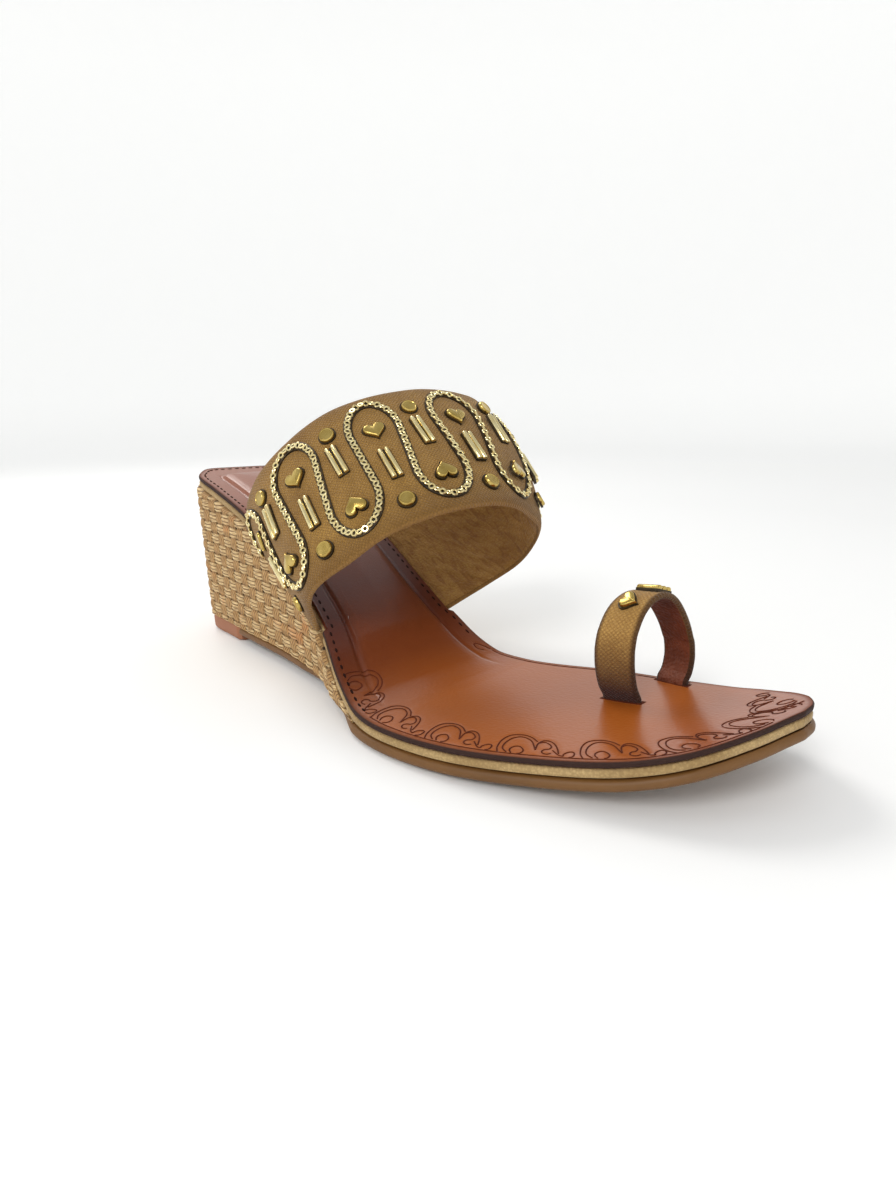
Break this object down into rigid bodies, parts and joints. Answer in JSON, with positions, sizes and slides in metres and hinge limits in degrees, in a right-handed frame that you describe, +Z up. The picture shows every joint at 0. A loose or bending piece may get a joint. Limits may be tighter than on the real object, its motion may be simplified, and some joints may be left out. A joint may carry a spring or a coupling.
{
  "type": "wedge sandal",
  "caption": "Backless wedge sandal with a broad instep strap, a loop for the big toe, a straw-wrapped wedge heel and chain, heart, stud and bar trim.",
  "frame": {"origin": "on the floor, under the middle of the sandal's box", "axes": "+Z up; the toe points along +X; the inner side of the foot is +Y, as on a right shoe"},
  "size_m": [0.2526, 0.105, 0.1032],
  "materials": {
    "outsole_rubber": "satin",
    "top_piece_rubber": "matte",
    "wedge_straw": "matte woven straw",
    "midsole_nubuck": "matte nubuck",
    "insole_leather": "gloss",
    "strap_nubuck": "matte nubuck",
    "trim_metal": "polished"
  },
  "bodies": {
    "root": {"outsole": "outsole_rubber", "heel_top_piece": "top_piece_rubber", "wedge_heel": "wedge_straw", "midsole": "midsole_nubuck", "insole": "insole_leather", "instep_strap": "strap_nubuck", "toe_loop": "strap_nubuck", "chain": "trim_metal", "heart_01": "trim_metal", "heart_02": "trim_metal", "heart_03": "trim_metal", "heart_04": "trim_metal", "heart_05": "trim_metal", "heart_06": "trim_metal", "heart_07": "trim_metal", "heart_08": "trim_metal", "heart_09": "trim_metal", "heart_10": "trim_metal", "heart_11": "trim_metal", "heart_12": "trim_metal", "stud_01": "trim_metal", "stud_02": "trim_metal", "stud_03": "trim_metal", "stud_04": "trim_metal", "stud_05": "trim_metal", "stud_06": "trim_metal", "stud_07": "trim_metal", "stud_08": "trim_metal", "stud_09": "trim_metal", "stud_10": "trim_metal", "stud_11": "trim_metal", "stud_12": "trim_metal", "bar_pair_01": "trim_metal", "bar_pair_02": "trim_metal", "bar_pair_03": "trim_metal", "bar_pair_04": "trim_metal", "bar_pair_05": "trim_metal", "bar_pair_06": "trim_metal", "bar_pair_07": "trim_metal", "bar_pair_08": "trim_metal", "bar_pair_09": "trim_metal", "bar_pair_10": "trim_metal", "bar_pair_11": "trim_metal", "bar_pair_12": "trim_metal", "toe_heart": "trim_metal", "toe_bars": "trim_metal"}
  },
  "joints": []
}
